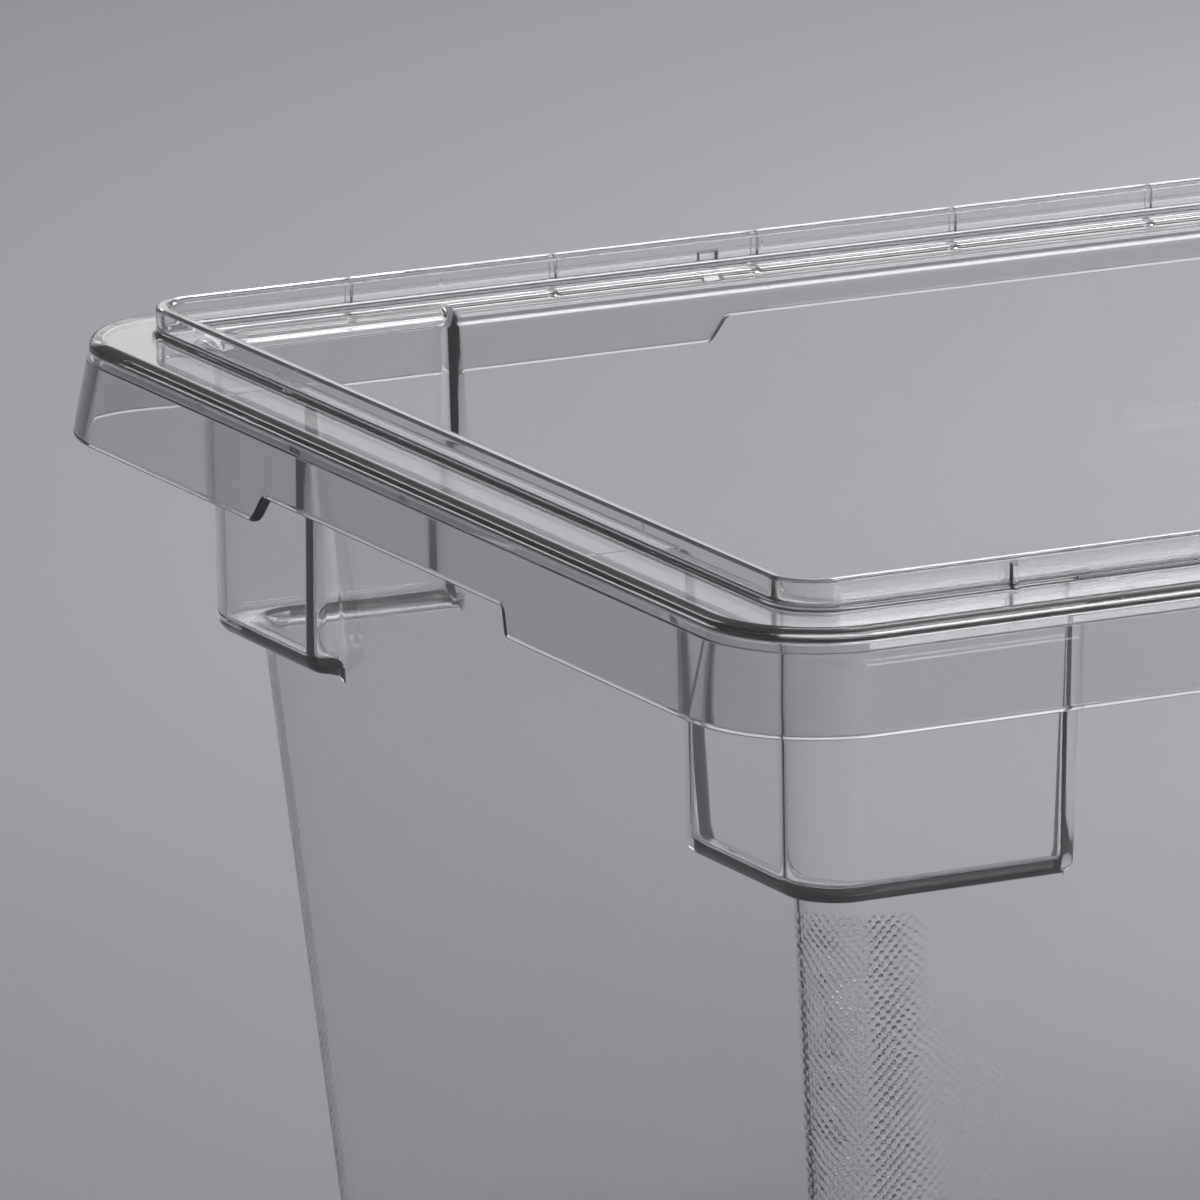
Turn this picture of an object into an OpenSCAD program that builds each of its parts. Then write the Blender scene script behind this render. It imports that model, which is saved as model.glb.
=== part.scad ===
// Clear food storage box with four stacking lugs, a lid bead and a hanging skirt.
// The box is one moulding. Each node is one zone of it, and the zones meet face to face.
// Long side along X, short side along Y, base on Z = 0, origin at the middle of the base.
// "Inset" below is a distance inwards from the skirt's lower edge, seen from above.

/* [Overall] */
// Length over the skirt
box_l = 457; // [400:1:540]
// Width over the skirt
box_w = 305; // [280:1:400]
// Height from the base to the top of the lid bead
box_h = 229; // [190:1:300]
// Thickness of the walls, the floor and the lugs
wall_t = 3; // [2.5:0.1:3.2]

/* [Walls] */
// Inset of the wall's outer face just below the rim
wall_inset = 26.5; // [26:0.1:29]
// Lean of the walls: inset gained for each millimetre down
taper = 0.1; // [0.06:0.005:0.11]
// Outer radius of the bend between the walls and the floor
bend_r = 8; // [5:0.5:10]
// Outer corner radius of the walls just below the lugs
corner_top_r = 12.5; // [11:0.1:18]
// Corner radius of the flat part of the floor
floor_corner_r = 1.5; // [1:0.1:3]

/* [Rim] */
// Thickness of the flat flange
flange_t = 3; // [2.5:0.1:3.5]
// Plan centre of the rim's corner arcs, as an inset from both sides
rim_centre = 27; // [26:1:32]
// Height of the upright band at the flange's outer edge
band_h = 4.5; // [4:0.1:6]
// Height of the skirt below the band
skirt_h = 16; // [12:0.5:20]
// Distance that the skirt flares outwards on its way down
skirt_flare = 3; // [1:0.5:4]
// Inset of the skirt's inner face where it meets the flange
flange_start = 6.5; // [6:0.1:7]

/* [Lid bead] */
// Inset of the bead's outer face
bead_inset = 17; // [16:0.5:18]
// Height of the bead above the flange
bead_h = 6; // [4:0.5:8]
// Height of the locating ribs on the bead
rib_h = 4.5; // [2:0.5:5]
// Length of a locating rib along the bead
rib_l = 1.4; // [1:0.1:2]
// Distance that a locating rib stands out from the bead
rib_d = 1; // [0.6:0.1:1.5]
// Distance between the locating ribs
rib_pitch = 47; // [40:1:50]
// Number of locating ribs on each long side
rib_count = 8; // [2:1:8]
// Inset of a lid catch's middle along the long side, from either end
catch_in = 147; // [120:1:150]
// Length of a lid catch
catch_l = 4.2; // [3:0.1:5]
// Height of a lid catch above the flange
catch_h = 2.2; // [1.5:0.1:3]
// Distance that a lid catch stands out from the bead
catch_d = 1.2; // [0.8:0.1:1.5]

/* [Stacking lugs] */
// Inset of the lug's outer face just below the rim
lug_inset = 24.5; // [24:0.1:25]
// Inset gained by the lug's outer face for each millimetre down
lug_draft = 0.018; // [0.01:0.002:0.03]
// Depth of the lug below the top of the flange
lug_h = 60; // [45:1:70]
// Inset of the lug's far end along the long side
lug_end_x = 84; // [76:1:95]
// Inset of the lug's far end along the short side
lug_end_y = 77; // [74:1:85]
// Outer corner radius of a lug
lug_r = 13; // [11:0.5:15]

/* [Finger grips] */
// Length of the raised stretch of the skirt on each short side
grip_end_l = 100; // [90:1:120]
// Length of the raised stretch of the skirt on each long side
grip_side_l = 139; // [110:1:160]
// Height by which the skirt's lower edge is raised there
grip_rise = 5.3; // [3:0.1:7]
// Length of the sloping step at each end of a grip
grip_slope = 3; // [1:0.5:5]

/* [Hidden] */
CORNERS = ["front_left", "front_right", "back_left", "back_right"];
SIDES = ["front", "back", "left", "right"];
$fn = 64;

// Heights
flange_top = box_h - bead_h;
flange_under = flange_top - flange_t;
band_bottom = flange_top - band_h;
skirt_bottom = band_bottom - skirt_h;
lug_bottom = flange_top - lug_h;
shelf_top = lug_bottom + wall_t;

// Inset of the main wall's outer face at a height, and of the lug's outer face
function wall_in(z) = wall_inset + taper * (flange_under - z);
function lug_in(z) = lug_inset + lug_draft * (flange_under - z);

// Bottom bend: an arc that touches both the leaning wall and the base plane
bend_lean = atan(taper);
bend_in = wall_in(0) - taper * bend_r + bend_r * sqrt(1 + taper * taper);
bend_steps = 6;
function bend_arc(r) = [
    for (i = [0:bend_steps])
        let (a = 180 + bend_lean + (90 - bend_lean) * i / bend_steps)
            [bend_in + r * cos(a), bend_r + r * sin(a)]
];

// Plan centre of the walls' corner arcs: fixed through the bend, then leaning with the walls
floor_in = bend_in;
centre_low = floor_in + floor_corner_r;
centre_top = wall_in(lug_bottom) + corner_top_r;
function wall_centre(z) = z <= bend_r ? centre_low
    : centre_low + (centre_top - centre_low) * (z - bend_r) / (lug_bottom - bend_r);
lug_centre = lug_inset + lug_r;

bead_inner = bead_inset + wall_t;
edge_r = 1.2;
skirt_t = 2.6;
overrun = 1;

clear_plastic = [0.86, 0.88, 0.91, 0.35];

// ---- Section outlines, as points [inset, height] ----

// A leaning wall between two heights
function lean_outline(z0, z1) = [
    [wall_in(z0), z0],
    [wall_in(z1), z1],
    [wall_in(z1) + wall_t, z1],
    [wall_in(z0) + wall_t, z0]
];

// Outer and inner edge of the wall with its bottom bend, from the lugs down to the floor
outer_edge = concat([[wall_in(lug_bottom), lug_bottom]], bend_arc(bend_r));
inner_edge = concat([[wall_in(lug_bottom) + wall_t, lug_bottom]], bend_arc(bend_r - wall_t));
bent_outline = concat(outer_edge, [for (i = [len(inner_edge) - 1:-1:0]) inner_edge[i]]);

// The upright shell of a lug, standing on its shelf
lug_outline = [
    [lug_in(shelf_top), shelf_top],
    [lug_inset, flange_under],
    [lug_inset + wall_t, flange_under],
    [lug_in(shelf_top) + wall_t, shelf_top]
];

// The outer band with the flared skirt below it
skirt_outline = [
    [0, skirt_bottom],
    [skirt_flare, band_bottom],
    [skirt_flare, flange_top - edge_r],
    [skirt_flare + edge_r, flange_top],
    [flange_start, flange_top],
    [flange_start, flange_under],
    [skirt_flare + skirt_t + 0.6, band_bottom],
    [skirt_t, skirt_bottom]
];

// The lid bead, with its top edges broken
bead_outline = [
    [bead_inset, flange_top],
    [bead_inset, box_h - edge_r],
    [bead_inset + edge_r, box_h],
    [bead_inner - edge_r, box_h],
    [bead_inner, box_h - edge_r],
    [bead_inner, flange_top]
];

// ---- Placing ----

// Sides in the order of SIDES, and corners in the order of CORNERS
function side_turn(i) = [0, 180, -90, 90][i];
function side_half(i) = (i < 2 ? box_w : box_l) / 2;
function side_length(i) = i < 2 ? box_l : box_w;
function lug_end(i) = i < 2 ? lug_end_x : lug_end_y;

// Turns a front side's solid to side i, with inset 0 at that side's skirt edge
module at_side(i) {
    rotate([0, 0, side_turn(i)])
        translate([0, -side_half(i), 0])
            children();
}

// Runs an outline along a side, centred
module along(outline, length) {
    rotate([90, 0, 90])
        linear_extrude(length, center = true)
            polygon(outline);
}

// Puts a solid drawn with insets as +X and +Y into corner i
module at_corner(i) {
    right = i % 2;
    back = i < 2 ? 0 : 1;
    mirror([right, 0, 0])
        mirror([0, back, 0])
            translate([-box_l / 2, -box_w / 2, 0])
                children();
}

// Turns an outline through a quarter circle about a plan centre
module round_corner(outline, centre) {
    translate([centre, centre, 0])
        rotate([0, 0, 180])
            rotate_extrude(angle = 90)
                polygon([for (p = outline) [centre - p[0], p[1]]]);
}

// Plate over a corner, from an inset out to the lug's two ends, with a rounded outer corner
module corner_plate(inset, centre, z0, thick) {
    r = centre - inset;
    translate([0, 0, z0]) {
        translate([centre, inset, 0])
            cube([lug_end_x - centre, lug_end_y - inset, thick]);
        translate([inset, centre, 0])
            cube([centre - inset, lug_end_y - centre, thick]);
        translate([centre, centre, 0])
            intersection() {
                cylinder(r = r, h = thick);
                translate([-r, -r, 0])
                    cube([r, r, thick]);
            }
    }
}

// The inside of the box at a corner, to be cut from a plate
module corner_void(inset, centre, z0, thick) {
    reach = lug_end_x + overrun;
    translate([0, 0, z0 - overrun]) {
        translate([centre, inset, 0])
            cube([reach - centre, reach - inset, thick + 2 * overrun]);
        translate([inset, centre, 0])
            cube([reach - inset, reach - centre, thick + 2 * overrun]);
        translate([centre, centre, 0])
            cylinder(r = centre - inset, h = thick + 2 * overrun);
    }
}

// ---- Sections of the moulding ----

module floor_panel() {
    half_l = box_l / 2 - floor_in;
    half_w = box_w / 2 - floor_in;
    r = floor_corner_r;
    color(clear_plastic) {
        translate([-half_l, r - half_w, 0])
            cube([2 * half_l, 2 * (half_w - r), wall_t]);
        translate([r - half_l, -half_w, 0])
            cube([2 * (half_l - r), 2 * half_w, wall_t]);
        for (x = [-1, 1], y = [-1, 1])
            translate([x * (half_l - r), y * (half_w - r), 0])
                cylinder(r = r, h = wall_t);
    }
}

// Between the corner arcs below the lugs, and between the lugs above
module side_wall(i) {
    half = side_length(i) / 2;
    color(clear_plastic)
        at_side(i) {
            intersection() {
                along(bent_outline, 2 * half);
                translate([0, half, 0])
                    rotate([90, 0, 0])
                        linear_extrude(half)
                            polygon([
                                [centre_low - half, 0],
                                [half - centre_low, 0],
                                [half - centre_low, bend_r],
                                [half - centre_top, lug_bottom],
                                [centre_top - half, lug_bottom],
                                [centre_low - half, bend_r]
                            ]);
            }
            along(lean_outline(lug_bottom, flange_under), 2 * (half - lug_end(i)));
        }
}

// Swept round the leaning corner centre, with a quad for each step of the arc and of the edges
module corner_wall() {
    turns = 16;
    count = len(outer_edge);
    edges = concat(outer_edge, inner_edge);
    points = [
        for (j = [0:turns], p = edges)
            let (a = 180 + 90 * j / turns, c = wall_centre(p[1]))
                [c + (c - p[0]) * cos(a), c + (c - p[0]) * sin(a), p[1]]
    ];
    function at(j, k) = j * 2 * count + k;
    color(clear_plastic)
        polyhedron(points, concat(
            [for (j = [0:turns - 1], k = [0:count - 2])
                [at(j, k), at(j, k + 1), at(j + 1, k + 1), at(j + 1, k)]],
            [for (j = [0:turns - 1], k = [count:2 * count - 2])
                [at(j, k), at(j + 1, k), at(j + 1, k + 1), at(j, k + 1)]],
            [for (j = [0:turns - 1])
                [at(j, 0), at(j + 1, 0), at(j + 1, count), at(j, count)]],
            [for (j = [0:turns - 1])
                [at(j, count - 1), at(j, 2 * count - 1), at(j + 1, 2 * count - 1), at(j + 1, count - 1)]],
            [for (k = [0:count - 2]) [at(0, k), at(0, count + k), at(0, count + k + 1), at(0, k + 1)]],
            [for (k = [0:count - 2])
                [at(turns, k), at(turns, k + 1), at(turns, count + k + 1), at(turns, count + k)]]
        ));
}

module lug_shelf() {
    color(clear_plastic)
        difference() {
            corner_plate(lug_in(shelf_top), lug_centre, lug_bottom, wall_t);
            corner_void(wall_in(lug_bottom) + wall_t, centre_top, lug_bottom, wall_t);
        }
}

// End plate that closes a lug back to the main wall, drawn for the end on the long side
module lug_end_plate(end) {
    translate([end - wall_t / 2, 0, 0])
        along([
            [lug_in(shelf_top) + wall_t, shelf_top],
            [lug_inset + wall_t, flange_under],
            [wall_inset + wall_t, flange_under],
            [wall_in(shelf_top) + wall_t, shelf_top]
        ], wall_t);
}

module stacking_lug() {
    color(clear_plastic) {
        round_corner(lug_outline, lug_centre);
        translate([(lug_end_x + lug_centre) / 2, 0, 0])
            along(lug_outline, lug_end_x - lug_centre);
        lug_end_plate(lug_end_x);
        mirror([1, -1, 0]) {
            translate([(lug_end_y + lug_centre) / 2, 0, 0])
                along(lug_outline, lug_end_y - lug_centre);
            lug_end_plate(lug_end_y);
        }
    }
}

module side_flange(i) {
    color(clear_plastic)
        at_side(i)
            translate([-side_length(i) / 2 + lug_end(i), flange_start, flange_under])
                cube([side_length(i) - 2 * lug_end(i), wall_inset + wall_t - flange_start, flange_t]);
}

module flange_corner() {
    color(clear_plastic)
        difference() {
            corner_plate(flange_start, rim_centre, flange_under, flange_t);
            corner_void(lug_inset + wall_t, lug_centre, flange_under, flange_t);
        }
}

module side_bead(i) {
    color(clear_plastic)
        at_side(i)
            along(bead_outline, side_length(i) - 2 * rim_centre);
}

module bead_corner() {
    color(clear_plastic)
        round_corner(bead_outline, rim_centre);
}

module side_skirt(i) {
    grip_l = i < 2 ? grip_side_l : grip_end_l;
    color(clear_plastic)
        at_side(i)
            difference() {
                along(skirt_outline, side_length(i) - 2 * rim_centre);
                translate([0, 2 * flange_start, 0])
                    rotate([90, 0, 0])
                        linear_extrude(3 * flange_start)
                            polygon([
                                [-grip_l / 2 - grip_slope, skirt_bottom - grip_rise],
                                [grip_l / 2 + grip_slope, skirt_bottom - grip_rise],
                                [grip_l / 2, skirt_bottom + grip_rise],
                                [-grip_l / 2, skirt_bottom + grip_rise]
                            ]);
            }
}

module skirt_corner() {
    color(clear_plastic)
        round_corner(skirt_outline, rim_centre);
}

// Upright ribs against the bead's outer face, evenly spaced along each long side
module bead_ribs() {
    color(clear_plastic)
        for (i = [0, 1])
            at_side(i)
                for (k = [0:rib_count - 1])
                    translate([
                        (k - (rib_count - 1) / 2) * rib_pitch - rib_l / 2,
                        bead_inset - rib_d,
                        flange_top
                    ])
                        cube([rib_l, rib_d, rib_h]);
}

// Low bumps at the foot of the bead's outer face, two on each long side
module lid_catches() {
    color(clear_plastic)
        for (i = [0, 1])
            at_side(i)
                for (end = [-1, 1])
                    translate([
                        end * (box_l / 2 - catch_in) - catch_l / 2,
                        bead_inset - catch_d,
                        flange_top
                    ])
                        cube([catch_l, catch_d, catch_h]);
}

floor_panel();

for (i = [0:3]) {
    side_wall(i);
    at_corner(i) corner_wall();
    at_corner(i) stacking_lug();
    at_corner(i) lug_shelf();
    side_flange(i);
    at_corner(i) flange_corner();
    side_bead(i);
    at_corner(i) bead_corner();
    side_skirt(i);
    at_corner(i) skirt_corner();
}

bead_ribs();
lid_catches();
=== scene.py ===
import math

import bmesh
import bpy
from mathutils import Matrix, Vector


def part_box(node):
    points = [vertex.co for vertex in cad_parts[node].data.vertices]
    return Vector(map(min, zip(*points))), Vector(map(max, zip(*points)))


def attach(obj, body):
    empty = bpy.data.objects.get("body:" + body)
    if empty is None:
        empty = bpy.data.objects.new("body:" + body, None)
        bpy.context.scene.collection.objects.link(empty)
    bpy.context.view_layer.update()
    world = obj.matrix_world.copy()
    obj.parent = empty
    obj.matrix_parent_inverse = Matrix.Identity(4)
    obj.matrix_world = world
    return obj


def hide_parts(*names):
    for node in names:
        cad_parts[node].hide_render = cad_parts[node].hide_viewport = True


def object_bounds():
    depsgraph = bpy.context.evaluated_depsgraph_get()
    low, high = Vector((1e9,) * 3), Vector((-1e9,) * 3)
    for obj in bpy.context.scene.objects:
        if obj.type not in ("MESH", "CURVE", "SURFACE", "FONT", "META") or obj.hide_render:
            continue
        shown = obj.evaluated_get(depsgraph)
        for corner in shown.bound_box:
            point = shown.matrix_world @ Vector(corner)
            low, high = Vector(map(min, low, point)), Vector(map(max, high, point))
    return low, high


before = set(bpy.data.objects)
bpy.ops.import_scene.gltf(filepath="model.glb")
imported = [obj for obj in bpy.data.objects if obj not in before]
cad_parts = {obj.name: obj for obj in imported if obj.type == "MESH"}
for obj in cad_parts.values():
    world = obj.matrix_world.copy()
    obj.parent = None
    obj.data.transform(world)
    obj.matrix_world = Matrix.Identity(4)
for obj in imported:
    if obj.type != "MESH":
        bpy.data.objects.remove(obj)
CAD_LOW, CAD_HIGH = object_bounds()

# The shell is drawn in millimetres and written in metres.
MM = 0.001


# ---- Sizes read from the frame, in millimetres ----

def low(node):
    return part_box(node)[0] / MM


def high(node):
    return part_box(node)[1] / MM


def from_edge(node, axis):
    """Inset of a node's outermost point from the skirt's edge, on the front left side."""
    return low(node)[axis] - CAD_LOW[axis] / MM


X, Y, Z = 0, 1, 2
LENGTH, WIDTH, HEIGHT = (CAD_HIGH - CAD_LOW) / MM
FLANGE_TOP = high("front_flange")[Z]
FLANGE_UNDER = low("front_flange")[Z]
SKIRT_BOTTOM = low("skirt_corner_front_left")[Z]
LUG_BOTTOM = low("lug_shelf_front_left")[Z]
SHELF_TOP = high("lug_shelf_front_left")[Z]
FLOOR_T = high("floor_panel")[Z]
BEAD_IN = from_edge("front_bead", Y)
RIM_CENTRE = from_edge("front_bead", X)
FLOOR_IN = from_edge("floor_panel", X)
CENTRE_LOW = high("corner_wall_front_left")[X] - CAD_LOW[X] / MM
CENTRE_TOP = from_edge("front_wall", X)
LUG_IN_TOP = from_edge("stacking_lug_front_left", X)
LUG_IN_LOW = from_edge("lug_shelf_front_left", X)
LUG_END = {
    X: high("stacking_lug_front_left")[X] - CAD_LOW[X] / MM,
    Y: high("stacking_lug_front_left")[Y] - CAD_LOW[Y] / MM,
}
WALL_IN_TOP = from_edge("front_wall", Y)
WALL_IN_SHELF = from_edge("corner_wall_front_left", X)
TAPER = (WALL_IN_SHELF - WALL_IN_TOP) / (FLANGE_UNDER - LUG_BOTTOM)
WALL_T = FLOOR_T
BEAD_INNER = BEAD_IN + WALL_T
LUG_R = 13.0
LUG_CENTRE = LUG_IN_TOP + LUG_R


def wall_in(z):
    """Inset of the main wall's outer face at height z."""
    return WALL_IN_TOP + TAPER * (FLANGE_UNDER - z)


def lug_in(z):
    """Inset of the lug's outer face at height z."""
    share = (FLANGE_UNDER - z) / (FLANGE_UNDER - SHELF_TOP)
    return LUG_IN_TOP + share * (LUG_IN_LOW - LUG_IN_TOP)


BEND_R = (FLOOR_IN - wall_in(0)) / (math.sqrt(1 + TAPER ** 2) - TAPER)


def wall_centre(z):
    """Plan centre of the walls' corner arcs at height z: fixed in the bend, leaning above it."""
    share = min(max((z - BEND_R) / (LUG_BOTTOM - BEND_R), 0.0), 1.0)
    return CENTRE_LOW + share * (CENTRE_TOP - CENTRE_LOW)


# Sizes of the rim that no node's box shows
BAND_H = 4.5
SKIRT_FLARE = 3.0
SKIRT_T = 2.6
SKIRT_ROOT = 0.6
SHOULDER = 0.5
GRIP_RISE = 5.3
GRIP_SLOPE = 3.0
GRIP_LENGTH = {X: 139.0, Y: 100.0}
RIB_PITCH = 47.0
RIB_INSETS = {X: [LENGTH / 2 - (k + 0.5) * RIB_PITCH for k in range(4)], Y: []}
RIB_L = 1.4
RIB_D = 1.0
RIB_SPREAD = 0.4
RIB_TOP = FLANGE_TOP + 4.5
CATCH_INSETS = {X: [147.0], Y: []}
CATCH_L = 4.2
CATCH_D = 1.2
CATCH_SPREAD = 1.0
CATCH_TOP = FLANGE_TOP + 2.2
CATCH_SLOPE = 0.7
BAND_BOTTOM = FLANGE_TOP - BAND_H

# Radii of the section's rounds
SHELF_R = 3.5
SHELF_INNER_R = 1.2
LEDGE_R = 5.0
BEAD_INNER_FOOT_R = 1.5
BEAD_TOP_R = 1.2
MARK_R = 0.2
BEAD_OUTER_FOOT_R = 1.6
SHOULDER_R = 3.2
BAND_LOWER_R = 0.4
SKIRT_TOP_R = 0.25
SKIRT_EDGE_R = 0.9
SKIRT_ROOT_R = 0.7
LUG_ROOT_R = 2.0
LUG_FOOT_R = 3.6
LUG_INNER_FOOT_R = 1.4
FLAT_R = 0.5


# ---- Section outline of the shell ----
# A knot is one bend of the section. It has a place where a lug is and a place where there is
# none, each (inset, height), so the two sections keep the same points and blend at a lug's end.

def knot(lug, plain, radius, steps, centre, shift=0.0, grip=0.0, rib=0.0, catch=0.0,
         plain_radius=None):
    """A bend of the section. Grip, rib and catch say how far each of them moves it."""
    return {
        "lug": lug, "plain": plain, "radius": radius, "steps": steps, "centre": centre,
        "shift": shift, "grip": grip, "rib": rib, "catch": catch,
        "plain_radius": radius if plain_radius is None else plain_radius,
    }


# The inside of a lug's end stands one wall nearer to the corner than its outside.
INNER_SHIFT = -WALL_T
# Where there is no lug, its two bends lie this far apart on the straight wall.
PLAIN_GAP = 2.0


def section_knots():
    """The section from the floor's inside, up, over the rim and down to the floor's outside."""
    def same(inset, z, radius, steps, **more):
        return knot((inset, z), (inset, z), radius, steps, RIM_CENTRE, **more)

    def inner(z):
        return (wall_in(z) + WALL_T, z)

    def outer(z):
        return (wall_in(z), z)

    floor_inside = (FLOOR_IN, FLOOR_T)
    bend_inside = (wall_in(0) + WALL_T, FLOOR_T)
    floor_outside = (FLOOR_IN, 0.0)
    bend_outside = (wall_in(0), 0.0)
    lug_ledge = (LUG_IN_TOP + WALL_T, FLANGE_TOP)
    plain_ledge = (WALL_IN_TOP + WALL_T, FLANGE_TOP)
    lug_shelf = (lug_in(SHELF_TOP) + WALL_T, SHELF_TOP)
    band = SKIRT_FLARE + SHOULDER
    return [
        knot(floor_inside, floor_inside, 0, 0, None, INNER_SHIFT),
        knot(bend_inside, bend_inside, BEND_R - WALL_T, 8, None, INNER_SHIFT),
        knot(inner(SHELF_TOP), inner(SHELF_TOP - PLAIN_GAP), SHELF_R, 7, None, INNER_SHIFT,
             plain_radius=FLAT_R),
        knot(lug_shelf, inner(SHELF_TOP + PLAIN_GAP), SHELF_INNER_R, 5, LUG_CENTRE, INNER_SHIFT,
             plain_radius=FLAT_R),
        knot(lug_ledge, plain_ledge, LEDGE_R, 10, LUG_CENTRE, INNER_SHIFT),
        same(BEAD_INNER, FLANGE_TOP, BEAD_INNER_FOOT_R, 5),
        same(BEAD_INNER, HEIGHT, BEAD_TOP_R, 6),
        same(BEAD_IN, HEIGHT, BEAD_TOP_R, 6),
        same(BEAD_IN, RIB_TOP, MARK_R, 1, rib=1.0),
        same(BEAD_IN, CATCH_TOP + CATCH_SLOPE, MARK_R, 1, rib=1.0),
        same(BEAD_IN, CATCH_TOP, MARK_R, 1, rib=1.0, catch=1.0),
        same(BEAD_IN, FLANGE_TOP, BEAD_OUTER_FOOT_R, 6, rib=1.0, catch=1.0),
        same(band, FLANGE_TOP, SHOULDER_R, 10),
        same(band, BAND_BOTTOM, BAND_LOWER_R, 3),
        same(SKIRT_FLARE, BAND_BOTTOM, SKIRT_TOP_R, 3),
        same(0.0, SKIRT_BOTTOM, SKIRT_EDGE_R, 6, grip=1.0),
        same(SKIRT_T, SKIRT_BOTTOM, SKIRT_EDGE_R, 6, grip=1.0),
        same(SKIRT_FLARE + SKIRT_T + SKIRT_ROOT, FLANGE_UNDER, SKIRT_ROOT_R, 4),
        knot((lug_in(FLANGE_UNDER), FLANGE_UNDER), outer(FLANGE_UNDER), LUG_ROOT_R, 6, LUG_CENTRE),
        knot((lug_in(LUG_BOTTOM), LUG_BOTTOM), outer(LUG_BOTTOM + PLAIN_GAP), LUG_FOOT_R, 8,
             LUG_CENTRE, plain_radius=FLAT_R),
        knot(outer(LUG_BOTTOM), outer(LUG_BOTTOM - PLAIN_GAP), LUG_INNER_FOOT_R, 6, None,
             plain_radius=FLAT_R),
        knot(bend_outside, bend_outside, BEND_R, 10, None),
        knot(floor_outside, floor_outside, 0, 0, None),
    ]


MIN_REACH = 0.25
MAX_REACH_SHARE = 0.49


def arc_through(before, corner, after, radius, steps):
    """Points of the round that softens a corner, as a conic that is a true arc for any angle."""
    a = Vector(before) - Vector(corner)
    b = Vector(after) - Vector(corner)
    half = a.angle(b) / 2
    reach = max(radius / math.tan(half), MIN_REACH)
    reach = min(reach, MAX_REACH_SHARE * a.length, MAX_REACH_SHARE * b.length)
    start = Vector(corner) + a.normalized() * reach
    end = Vector(corner) + b.normalized() * reach
    weight = math.sin(half)
    points = []
    for i in range(steps + 1):
        t = i / steps
        wa, wc, wb = (1 - t) ** 2, 2 * weight * t * (1 - t), t ** 2
        points.append((start * wa + Vector(corner) * wc + end * wb) / (wa + wc + wb))
    return points


def rounded_outline(knots, kind):
    """The outline for one kind of place, as one list of points for each knot."""
    outline = []
    for i, k in enumerate(knots):
        if k["steps"] == 0:
            outline.append([Vector(k[kind])])
            continue
        radius = k["radius"] if kind == "lug" else k["plain_radius"]
        before, after = knots[i - 1][kind], knots[i + 1][kind]
        outline.append(arc_through(before, k[kind], after, radius, k["steps"]))
    return outline


def section_rows():
    """Every row of the shell: its two section points and what moves it."""
    knots = section_knots()
    lug, plain = rounded_outline(knots, "lug"), rounded_outline(knots, "plain")
    rows = []
    for k, lug_points, plain_points in zip(knots, lug, plain):
        for p, q in zip(lug_points, plain_points):
            centre = wall_centre(p.y) if k["centre"] is None else k["centre"]
            rows.append({"lug": p, "plain": q, "centre": centre, "shift": k["shift"],
                         "grip": k["grip"], "rib": k["rib"], "catch": k["catch"]})
    return rows


# ---- Stations along a side ----
# A station says where a column of the shell stands: its distance along the side, how far the
# section has gone from lug to plain, how far the grip has risen and how far ribs stand out.

# Radii of the two rounds of a lug's end, at its face and at the wall
FACE_ROUND = 3.5
WALL_ROUND = 1.2
STEP_SPREAD = 0.3
ARC_STEPS = 16
END_STEPS = 8
GRIP_STEPS = 14
MARK_OFFSETS = (0.55, 0.3, 0.15, 0.0, -0.15, -0.3, -0.55)


def smooth(t):
    t = min(max(t, 0.0), 1.0)
    return t * t * (3 - 2 * t)


def bump(distance, half_length, spread):
    """1 on a small raised mark, falling smoothly to 0 over its end."""
    return 1 - smooth((distance - half_length) / spread + 0.5)


def side_stations(axis):
    """Stations of the first half of a side along X or Y."""
    side = LENGTH if axis == X else WIDTH
    grip_start = (side - GRIP_LENGTH[axis]) / 2 - GRIP_SLOPE
    marks = ((RIB_INSETS[axis], RIB_L / 2, RIB_SPREAD),
             (CATCH_INSETS[axis], CATCH_L / 2, CATCH_SPREAD))
    places = {CENTRE_LOW + 2.0}
    for insets, half_length, spread in marks:
        for u in insets:
            for off in MARK_OFFSETS:
                places.add(u - half_length + off * spread)
                places.add(u + half_length - off * spread)
    for i in range(GRIP_STEPS + 1):
        places.add(grip_start + GRIP_SLOPE * (i / GRIP_STEPS * 1.5 - 0.25))

    def fixed(u):
        rib, catch = (max([bump(abs(u - c), half, spread) for c in insets], default=0.0)
                      for insets, half, spread in marks)
        grip = smooth((u - grip_start + 0.25 * GRIP_SLOPE) / (1.5 * GRIP_SLOPE))
        plain = 0.0 if u < LUG_END[axis] else 1.0
        return {"u": u, "plain": plain, "grip": grip, "rib": rib, "catch": catch, "step": None}

    stations = [fixed(u) for u in sorted(places) if u < LUG_END[axis]]
    for half in (0, 1):
        for i in range(END_STEPS + 1):
            along = (half * (END_STEPS + 1) + i) / (2 * END_STEPS + 1)
            stations.append({"u": LUG_END[axis], "plain": half, "grip": 0.0, "rib": 0.0,
                             "catch": 0.0, "step": (half, i / END_STEPS, along)})
    stations += [fixed(u) for u in sorted(places) if u > LUG_END[axis]]
    return stations, side


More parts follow.
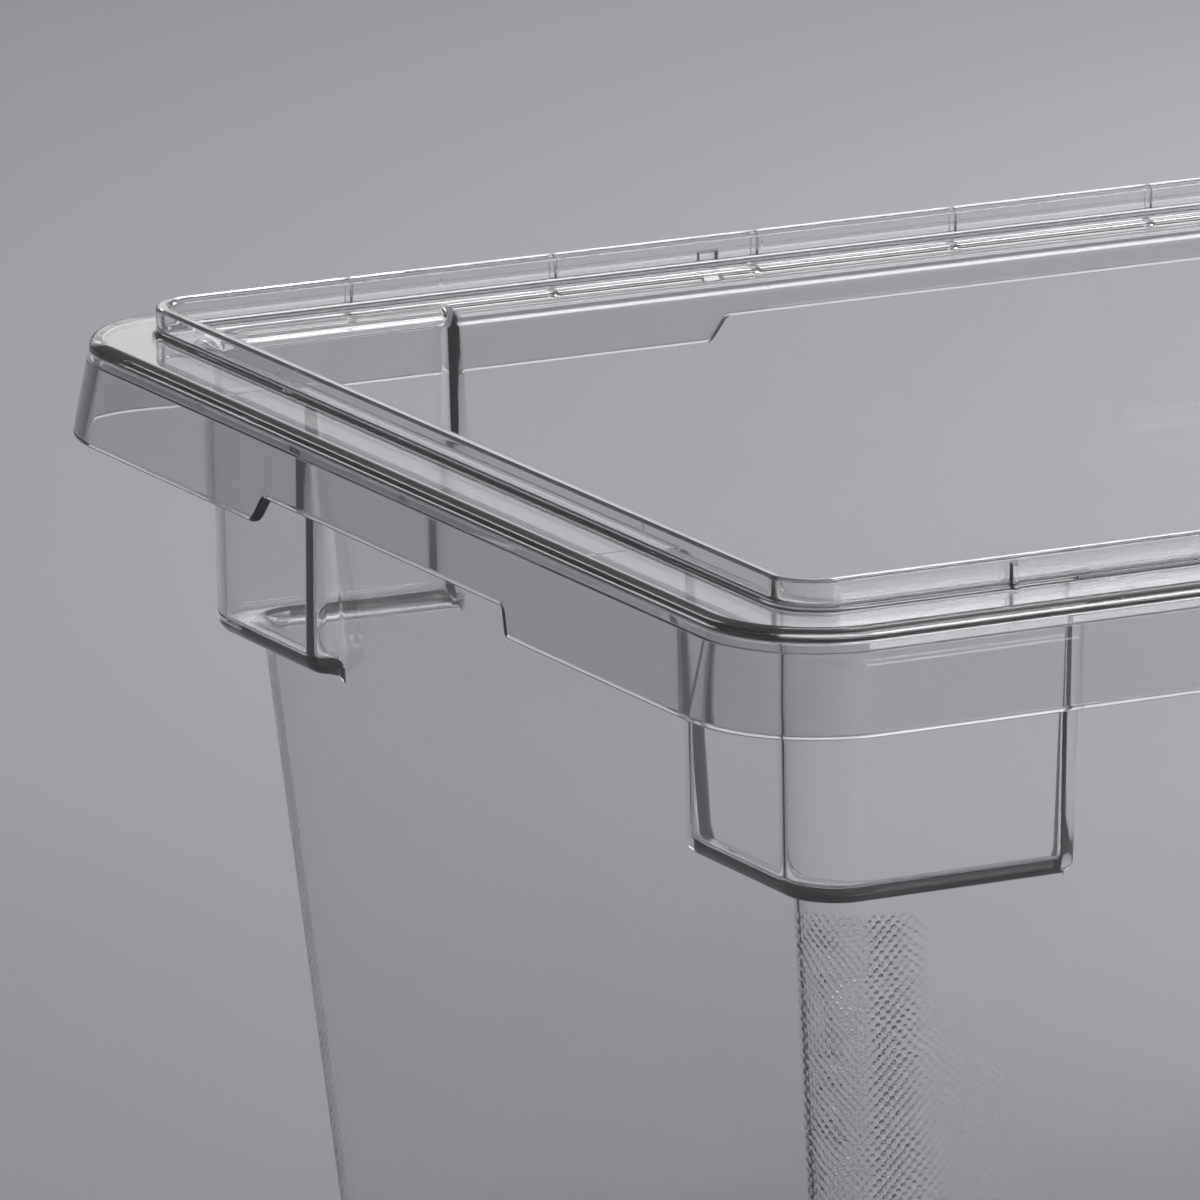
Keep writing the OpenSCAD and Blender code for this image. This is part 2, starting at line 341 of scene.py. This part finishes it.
def place(row, station):
    """(distance along the side, inset, height) of a row at a station."""
    lug, plain = row["lug"], row["plain"]
    u = station["u"]
    if station["step"]:
        half, t, along = station["step"]
        depth = abs(plain.x - lug.x)
        near_face = (half == 0) == (row["shift"] == 0)
        reach = FACE_ROUND if near_face else WALL_ROUND
        most = 0.9 * reach / (FACE_ROUND + WALL_ROUND)
        round_share = min(reach / depth, most) if depth > 1e-6 else 0.4
        turn = t * math.pi / 2
        if half == 0:
            share = round_share * (1 - math.cos(turn))
            u += round_share * depth * (math.sin(turn) - 1)
        else:
            share = 1 - round_share * (1 - math.sin(turn))
            u += round_share * depth * (1 - math.cos(turn))
        u += row["shift"] + STEP_SPREAD * (2 * along - 1)
    else:
        share = station["plain"]
    inset, z = lug.lerp(plain, share)
    lift = GRIP_RISE * row["grip"] * station["grip"]
    inset += lift * SKIRT_FLARE / (BAND_BOTTOM - SKIRT_BOTTOM)
    rib = RIB_D * row["rib"] * station["rib"]
    catch = CATCH_D * row["catch"] * station["catch"]
    inset -= max(rib, catch)
    return u, inset, z + lift


def ring(row):
    """The closed loop of points of one row, round the box from the front left corner."""
    c = row["centre"]
    lug = row["lug"]
    points = []
    turns = (
        (X, lambda u, i: (u - LENGTH / 2, i - WIDTH / 2)),
        (Y, lambda u, i: (LENGTH / 2 - i, u - WIDTH / 2)),
        (X, lambda u, i: (LENGTH / 2 - u, WIDTH / 2 - i)),
        (Y, lambda u, i: (i - LENGTH / 2, WIDTH / 2 - u)),
    )
    for axis, to_plan in turns:
        half, side = side_stations(axis)
        placed = [place(row, s) for s in half]
        placed.append((side / 2, placed[-1][1], placed[-1][2]))
        placed += [(side - u, inset, z) for u, inset, z in reversed(placed[:-1])]
        for u, inset, z in placed:
            points.append((*to_plan(u, inset), z))
        r = c - lug.x
        for i in range(ARC_STEPS + 1):
            turn = i / ARC_STEPS * math.pi / 2
            points.append((*to_plan(side - c + r * math.sin(turn), c - r * math.cos(turn)), lug.y))
    return points


def build_shell(name):
    """One closed mesh: rings joined by quads, and a flat cap inside and outside the floor."""
    rows = section_rows()
    mesh = bmesh.new()
    rings = [[mesh.verts.new(Vector(p) * MM) for p in ring(row)] for row in rows]
    count = len(rings[0])
    for lower, upper in zip(rings, rings[1:]):
        for i in range(count):
            j = (i + 1) % count
            mesh.faces.new((lower[i], lower[j], upper[j], upper[i]))
    mesh.faces.new(rings[0])
    mesh.faces.new(list(reversed(rings[-1])))
    bmesh.ops.remove_doubles(mesh, verts=mesh.verts, dist=1e-6)
    bmesh.ops.dissolve_degenerate(mesh, edges=mesh.edges, dist=1e-7)
    bmesh.ops.recalc_face_normals(mesh, faces=mesh.faces)
    for face in mesh.faces:
        face.smooth = True
    data = bpy.data.meshes.new(name)
    mesh.to_mesh(data)
    mesh.free()
    piece = bpy.data.objects.new(name, data)
    bpy.context.scene.collection.objects.link(piece)
    weighted = piece.modifiers.new("flat faces stay flat", "WEIGHTED_NORMAL")
    weighted.weight = 100
    weighted.keep_sharp = False
    return piece


# ---- Material ----

class Graph:
    """Short hand for adding nodes to a material."""

    def __init__(self, material):
        material.use_nodes = True
        self.tree = material.node_tree
        self.shader = self.tree.nodes["Principled BSDF"]

    def add(self, kind, settings=(), **inputs):
        """A new node. Settings are its own properties, and inputs are values or sockets."""
        node = self.tree.nodes.new(kind)
        for name, value in dict(settings).items():
            setattr(node, name, value)
        for name, value in inputs.items():
            self.set(node.inputs[name.replace("_", " ")], value)
        return node

    def set(self, socket, value):
        if isinstance(value, bpy.types.NodeSocket):
            self.tree.links.new(value, socket)
        else:
            socket.default_value = value

    def math(self, operation, a, b=0.0):
        node = self.tree.nodes.new("ShaderNodeMath")
        node.operation = operation
        self.set(node.inputs[0], a)
        self.set(node.inputs[1], b)
        return node.outputs[0]

    def product(self, *factors):
        result = factors[0]
        for factor in factors[1:]:
            result = self.math("MULTIPLY", result, factor)
        return result

    def ramp(self, value, start, end, first, last):
        """Goes smoothly from first to last as the value goes from start to end."""
        node = self.add("ShaderNodeMapRange", {"interpolation_type": "SMOOTHSTEP"}, Value=value,
                        From_Min=start, From_Max=end, To_Min=first, To_Max=last)
        return node.outputs["Result"]


# Pebbled texture, in metres
PEBBLE_PITCH = 0.0022
PEBBLE_HEIGHT = 0.00009
SWAY_PITCHES = 2.5
SWAY_TURN = 4.0
OUTSIDE_FROM = 0.03

# Handling marks in the polish, the plastic itself, and painted shade on the skirt under the rim
HANDLING_SCALE = 22.0
POLISH = (0.012, 0.04)
PEBBLE_ROUGHNESS = 0.05
TONE_DARK = (0.975, 0.977, 0.988, 1)
TONE_LIGHT = (0.988, 0.990, 0.996, 1)
PEBBLE_TONE = 0.95
SKIRT_PAINTED_SHADE = 0.945
CLEARNESS = 0.95
REFRACTION = 1.585


def pebbled_zone(graph, from_end, from_side, height):
    """(where the texture is, how deep it is there): the walls' corners, below the lugs."""
    by_end = graph.ramp(from_end, (LUG_END[X] - 2) * MM, LUG_END[X] * MM, 1, 0)
    by_side = graph.ramp(from_side, (LUG_END[Y] - 2) * MM, LUG_END[Y] * MM, 1, 0)
    below = graph.ramp(height, (LUG_BOTTOM - 6) * MM, (LUG_BOTTOM - 3) * MM, 1, 0)
    zone = graph.product(by_end, by_side, below)
    towards_side = graph.math("SUBTRACT", from_end, from_side)
    round_bend = graph.ramp(towards_side, -0.012, 0.000, 0.04, 1)
    past_bend = graph.ramp(towards_side, 0.012, 0.024, 1, 0.2)
    return zone, graph.product(round_bend, past_bend, zone)


def pebble_dots(graph, where, across, upwards):
    """1 on a pebble and 0 between them: staggered dots whose rows sway a little."""
    turns = 2 * math.pi / PEBBLE_PITCH
    wobble = graph.add("ShaderNodeTexNoise", Vector=where, Scale=1 / (SWAY_PITCHES * PEBBLE_PITCH),
                       Detail=0.0)
    sway = graph.product(wobble.outputs["Fac"], SWAY_TURN)
    waves = [graph.math("SINE", graph.math("ADD", graph.product(along, turns), sway))
             for along in (across, upwards)]
    return graph.ramp(graph.product(*waves), -0.3, 0.7, 0, 1)


def on_outside(graph, where):
    """1 on faces that look away from the middle of the box, 0 on those that look into it."""
    outward = graph.add("ShaderNodeVectorMath", {"operation": "DOT_PRODUCT"})
    graph.set(outward.inputs[0], where)
    graph.set(outward.inputs[1], graph.add("ShaderNodeTexCoord").outputs["Normal"])
    return graph.math("GREATER_THAN", outward.outputs["Value"], OUTSIDE_FROM)


def clear_plastic():
    """Clear plastic, with a pebbled texture on the walls' corners below the lugs."""
    material = bpy.data.materials.new("clear_polycarbonate")
    graph = Graph(material)
    where = graph.add("ShaderNodeTexCoord").outputs["Object"]
    x, y, z = graph.add("ShaderNodeSeparateXYZ", Vector=where).outputs
    from_end = graph.math("SUBTRACT", LENGTH / 2 * MM, graph.math("ABSOLUTE", x))
    from_side = graph.math("SUBTRACT", WIDTH / 2 * MM, graph.math("ABSOLUTE", y))

    zone, depth = pebbled_zone(graph, from_end, from_side, z)
    dots = pebble_dots(graph, where, graph.math("SUBTRACT", from_end, from_side), z)
    raised = graph.product(dots, depth, on_outside(graph, where))
    pebbles = graph.add("ShaderNodeBump", Strength=1.0, Distance=PEBBLE_HEIGHT, Height=raised)

    handling = graph.add("ShaderNodeTexNoise", Vector=where, Scale=HANDLING_SCALE, Detail=1.0)
    polish = graph.ramp(handling.outputs["Fac"], 0.35, 0.75, *POLISH)
    tone = graph.add("ShaderNodeValToRGB", Fac=handling.outputs["Fac"])
    tone.color_ramp.elements[0].color = TONE_DARK
    tone.color_ramp.elements[1].color = TONE_LIGHT

    # Painted shade: the skirt below the band is darkened in the base colour, standing in for the
    # shade under the rim's overhang.
    from_edge_in = graph.math("MINIMUM", from_end, from_side)
    painted_shade_on_skirt = graph.product(graph.ramp(from_edge_in, 0.008, 0.010, 1, 0),
                             graph.ramp(z, (BAND_BOTTOM - 1) * MM, BAND_BOTTOM * MM, 1, 0))
    pebble_tint_and_painted_shade = graph.product(graph.ramp(raised, 0, 1, 1, PEBBLE_TONE),
                         graph.ramp(painted_shade_on_skirt, 0, 1, 1, SKIRT_PAINTED_SHADE))
    shade = graph.add("ShaderNodeVectorMath", {"operation": "SCALE"}, Scale=pebble_tint_and_painted_shade)
    graph.set(shade.inputs[0], tone.outputs["Color"])

    sockets = graph.shader.inputs
    graph.set(sockets["Base Color"], shade.outputs["Vector"])
    graph.set(sockets["Roughness"],
              graph.math("ADD", polish, graph.product(zone, PEBBLE_ROUGHNESS)))
    graph.set(sockets["Normal"], pebbles.outputs["Normal"])
    graph.set(sockets["Transmission Weight"], CLEARNESS)
    graph.set(sockets["IOR"], REFRACTION)
    return material


shell = build_shell("food_box_shell")
shell.data.materials.append(clear_plastic())
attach(shell, "root")
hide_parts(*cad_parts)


# ---- Stage ----

FLOOR_REACH = 30.0
FLOOR_DROP = 0.0005
FLOOR_COLOUR = (0.50, 0.49, 0.52)
FLOOR_ROUGHNESS = 0.8

# Name, place, what it points at, width and height in metres, and watts
SOFT_BOXES = (
    ("top_softbox", (1.2, -0.1, 2.3), (0.3, 0.3, 0.1), 1.5, 1.5, 7),
    ("right_softbox", (1.05, 0.4, 0.9), (0.6, 0.6, 0.0), 0.5, 0.5, 11.5),
    ("front_softbox", (1.0, -1.5, 0.9), (0.1, 0.0, 0.15), 0.8, 0.6, 9),
    ("back_softbox", (1.6, 3.2, 1.15), (0, 0, 0.2), 3.2, 1.1, 8),
)

# The room is brighter towards +X.
ROOM_COLOUR = (0.96, 0.96, 1.0, 1)
ROOM_FADE = {"From Min": -0.8, "From Max": 0.9, "To Min": 0.05, "To Max": 0.34}


def plain_surface(name, colour, roughness):
    material = bpy.data.materials.new(name)
    material.use_nodes = True
    shader = material.node_tree.nodes["Principled BSDF"]
    shader.inputs["Base Color"].default_value = (*colour, 1)
    shader.inputs["Roughness"].default_value = roughness
    return material


def make_floor():
    data = bpy.data.meshes.new("floor")
    turns = ((-1, -1), (1, -1), (1, 1), (-1, 1))
    corners = [(FLOOR_REACH * x, FLOOR_REACH * y, 0) for x, y in turns]
    data.from_pydata(corners, [], [(0, 1, 2, 3)])
    floor = bpy.data.objects.new("floor", data)
    floor.location.z = -FLOOR_DROP
    bpy.context.scene.collection.objects.link(floor)
    data.materials.append(plain_surface("studio_floor", FLOOR_COLOUR, FLOOR_ROUGHNESS))


def soft_box(name, place_at, aim, width, height, power):
    data = bpy.data.lights.new(name, "AREA")
    data.shape = "RECTANGLE"
    data.size = width
    data.size_y = height
    data.energy = power
    light = bpy.data.objects.new(name, data)
    light.location = place_at
    light.rotation_euler = (Vector(aim) - Vector(place_at)).to_track_quat("-Z", "Y").to_euler()
    bpy.context.scene.collection.objects.link(light)


def make_room():
    world = bpy.data.worlds.new("studio")
    world.use_nodes = True
    tree = world.node_tree
    background = tree.nodes["Background"]
    background.inputs["Color"].default_value = ROOM_COLOUR
    around = tree.nodes.new("ShaderNodeTexCoord")
    apart = tree.nodes.new("ShaderNodeSeparateXYZ")
    fade = tree.nodes.new("ShaderNodeMapRange")
    for name, value in ROOM_FADE.items():
        fade.inputs[name].default_value = value
    tree.links.new(around.outputs["Generated"], apart.inputs["Vector"])
    tree.links.new(apart.outputs["X"], fade.inputs["Value"])
    tree.links.new(fade.outputs["Result"], background.inputs["Strength"])
    bpy.context.scene.world = world


make_floor()
for soft_box_numbers in SOFT_BOXES:
    soft_box(*soft_box_numbers)
make_room()
bpy.context.scene.view_settings.view_transform = "Standard"


# ---- Camera ----
# A long lens from the front left and a little above, framed on the front left corner of the rim.

AZIMUTH = -28.32
ELEVATION = 13.96
DISTANCE = 2.601
LENS_PER_FRAME = 11.793
CORNER_IN_FRAME = (0.6361, 0.5547)
SENSOR = 36
FAR_CLIP = 200


def make_camera():
    data = bpy.data.cameras.new("camera")
    data.sensor_fit = "HORIZONTAL"
    data.sensor_width = SENSOR
    data.lens = SENSOR * LENS_PER_FRAME
    data.clip_end = FAR_CLIP
    camera = bpy.data.objects.new("camera", data)
    bpy.context.scene.collection.objects.link(camera)
    a, e = math.radians(AZIMUTH), math.radians(ELEVATION)
    back = Vector((math.sin(a) * math.cos(e), -math.cos(a) * math.cos(e), math.sin(e)))
    rotation = (-back).to_track_quat("-Z", "Y").to_matrix()
    corner = Vector((SKIRT_FLARE - LENGTH / 2, SKIRT_FLARE - WIDTH / 2, BAND_BOTTOM)) * MM
    across = (CORNER_IN_FRAME[0] - 0.5) / LENS_PER_FRAME
    down = (CORNER_IN_FRAME[1] - 0.5) / LENS_PER_FRAME
    seen = rotation @ Vector((across, -down, -1)) * DISTANCE
    camera.matrix_world = Matrix.Translation(corner - seen) @ rotation.to_4x4()
    bpy.context.scene.camera = camera


make_camera()
